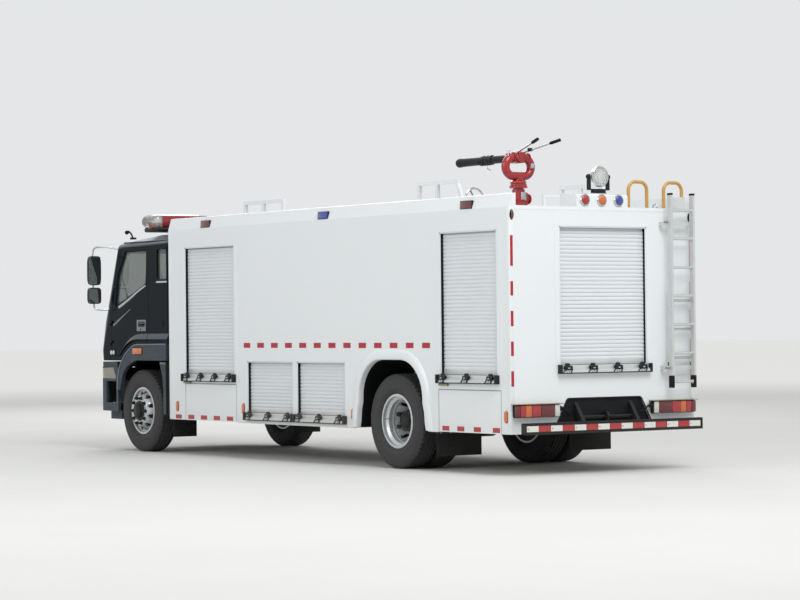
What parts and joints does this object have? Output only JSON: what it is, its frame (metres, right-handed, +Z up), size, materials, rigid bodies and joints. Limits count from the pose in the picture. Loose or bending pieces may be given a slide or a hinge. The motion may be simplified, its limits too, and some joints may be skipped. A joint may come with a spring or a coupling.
{
  "type": "fire truck",
  "caption": "Two-axle tanker fire truck with a tilting cab, roller-shutter lockers, fold-down steps, a roof water monitor and a searchlight.",
  "frame": {"origin": "on the ground, under the middle of the truck's length and width", "axes": "+X forward towards the cab, +Y to the truck's left side, +Z up"},
  "size_m": [9.373, 2.925, 3.5656],
  "materials": {
    "white_paint": "satin",
    "black_paint": "gloss",
    "frame_paint": "satin",
    "red_paint": "gloss",
    "yellow_paint": "gloss",
    "shutter_aluminium": "satin",
    "bare_aluminium": "brushed",
    "wheel_steel": "satin",
    "latch_steel": "satin",
    "forged_iron": "matte",
    "tyre_rubber": "matte",
    "black_rubber": "matte",
    "dark_plastic": "matte",
    "black_plastic": "matte",
    "red_lens": "gloss",
    "amber_lens": "gloss",
    "clear_lens": "gloss",
    "window_glass": "clear"
  },
  "bodies": {
    "chassis": {"chassis_frame": "frame_paint", "axle_front": "forged_iron", "axle_rear": "forged_iron", "leaf_springs": "forged_iron", "engine_block": "forged_iron", "driveline": "forged_iron", "underbody_tanks": "frame_paint", "front_bumper": "dark_plastic", "headlamps": "clear_lens", "side_walls": "white_paint", "end_walls": "white_paint", "roof_deck": "white_paint", "body_floor": "white_paint", "wheel_arches": "white_paint", "roller_shutters": "shutter_aluminium", "shutter_guides": "black_rubber", "shutter_bars": "latch_steel", "rear_bumper": "frame_paint", "tail_lamps": "red_lens", "mudguards": "black_rubber", "ladder": "bare_aluminium", "grab_hoops": "yellow_paint", "roof_racks": "white_paint", "deck_bracket": "white_paint", "roof_valve": "latch_steel", "lamp_box": "white_paint", "marker_lamps": "amber_lens", "monitor_base": "red_paint", "searchlight_base": "black_plastic"},
    "cab": {"cab_shell": "black_paint", "cab_glass": "window_glass", "cab_interior": "black_plastic", "light_bar": "red_lens", "mirrors": "black_plastic", "cab_trim": "dark_plastic"},
    "door_left": {"door_left": "black_paint", "door_glass_left": "window_glass"},
    "door_right": {"door_right": "black_paint", "door_glass_right": "window_glass"},
    "steering_wheel": {"steering_wheel": "black_plastic"},
    "knuckle_left": {"knuckle_left": "forged_iron"},
    "knuckle_right": {"knuckle_right": "forged_iron"},
    "wheel_front_left": {"tyre_front_left": "tyre_rubber", "rim_front_left": "wheel_steel"},
    "wheel_front_right": {"tyre_front_right": "tyre_rubber", "rim_front_right": "wheel_steel"},
    "wheels_rear_left": {"tyres_rear_left": "tyre_rubber", "rims_rear_left": "wheel_steel"},
    "wheels_rear_right": {"tyres_rear_right": "tyre_rubber", "rims_rear_right": "wheel_steel"},
    "monitor_head": {"monitor_head": "red_paint"},
    "monitor_barrel": {"monitor_barrel": "black_plastic"},
    "searchlight_yoke": {"searchlight_yoke": "black_plastic"},
    "searchlight_head": {"searchlight_head": "clear_lens"},
    "hatch_lid": {"hatch_lid": "white_paint"},
    "step_front_left": {"step_front_left": "white_paint"},
    "step_front_right": {"step_front_right": "white_paint"},
    "step_rear_left": {"step_rear_left": "white_paint"},
    "step_rear_right": {"step_rear_right": "white_paint"}
  },
  "joints": [
    {"name": "cab_tilt", "type": "hinge", "parent": "chassis", "child": "cab", "pos_m": [4.5, 0, 0.85], "axis": [0, 1, 0], "range_deg": [0, 45]},
    {"name": "door_left_hinge", "type": "hinge", "parent": "cab", "child": "door_left", "pos_m": [4.2975, 1.204, 1.53], "axis": [0, 0, -1], "range_deg": [0, 70]},
    {"name": "door_right_hinge", "type": "hinge", "parent": "cab", "child": "door_right", "pos_m": [4.2975, -1.204, 1.53], "axis": [0, 0, 1], "range_deg": [0, 70]},
    {"name": "steering_wheel_turn", "type": "hinge", "parent": "cab", "child": "steering_wheel", "pos_m": [4.07, 0.56, 1.845], "axis": [-0.5736, 0, 0.8192], "range_deg": [-540, 540]},
    {"name": "steer_left", "type": "hinge", "parent": "chassis", "child": "knuckle_left", "pos_m": [3.51, 0.86, 0.527], "axis": [0, 0, 1], "range_deg": [-35, 35]},
    {"name": "steer_right", "type": "hinge", "parent": "chassis", "child": "knuckle_right", "pos_m": [3.51, -0.86, 0.527], "axis": [0, 0, 1], "range_deg": [-35, 35]},
    {"name": "wheel_front_left_spin", "type": "hinge", "parent": "knuckle_left", "child": "wheel_front_left", "pos_m": [3.51, 1.06, 0.527], "axis": [0, 1, 0], "continuous": true},
    {"name": "wheel_front_right_spin", "type": "hinge", "parent": "knuckle_right", "child": "wheel_front_right", "pos_m": [3.51, -1.06, 0.527], "axis": [0, 1, 0], "continuous": true},
    {"name": "wheels_rear_left_spin", "type": "hinge", "parent": "chassis", "child": "wheels_rear_left", "pos_m": [-2.29, 0.899, 0.527], "axis": [0, 1, 0], "continuous": true},
    {"name": "wheels_rear_right_spin", "type": "hinge", "parent": "chassis", "child": "wheels_rear_right", "pos_m": [-2.29, -0.899, 0.527], "axis": [0, 1, 0], "continuous": true},
    {"name": "monitor_turn", "type": "hinge", "parent": "chassis", "child": "monitor_head", "pos_m": [-3.81, 0.6, 3.102], "axis": [0, 0, 1], "range_deg": [-105, 210]},
    {"name": "monitor_pitch", "type": "hinge", "parent": "monitor_head", "child": "monitor_barrel", "pos_m": [-3.81, 0.6, 3.385], "axis": [0, -1, 0], "range_deg": [-8, 70]},
    {"name": "searchlight_turn", "type": "hinge", "parent": "chassis", "child": "searchlight_yoke", "pos_m": [-4.295, -0.11, 3.025], "axis": [0, 0, 1], "range_deg": [-170, 170]},
    {"name": "searchlight_tilt", "type": "hinge", "parent": "searchlight_yoke", "child": "searchlight_head", "pos_m": [-4.295, -0.11, 3.17], "axis": [0, 1, 0], "range_deg": [-30, 60]},
    {"name": "hatch_lift", "type": "hinge", "parent": "chassis", "child": "hatch_lid", "pos_m": [-1.09, 0, 2.984], "axis": [0, -1, 0], "range_deg": [0, 100]},
    {"name": "step_front_left_fold", "type": "hinge", "parent": "chassis", "child": "step_front_left", "pos_m": [1.65, 1.235, 0.454], "axis": [-1, 0, 0], "range_deg": [0, 90]},
    {"name": "step_front_right_fold", "type": "hinge", "parent": "chassis", "child": "step_front_right", "pos_m": [1.65, -1.235, 0.454], "axis": [1, 0, 0], "range_deg": [0, 90]},
    {"name": "step_rear_left_fold", "type": "hinge", "parent": "chassis", "child": "step_rear_left", "pos_m": [-3.77, 1.235, 0.454], "axis": [-1, 0, 0], "range_deg": [0, 90]},
    {"name": "step_rear_right_fold", "type": "hinge", "parent": "chassis", "child": "step_rear_right", "pos_m": [-3.77, -1.235, 0.454], "axis": [1, 0, 0], "range_deg": [0, 90]}
  ],
  "couplings": [
    {"joint": "steer_right", "follows": "steer_left", "ratio": 1},
    {"joint": "steering_wheel_turn", "follows": "steer_left", "ratio": 15.4}
  ]
}
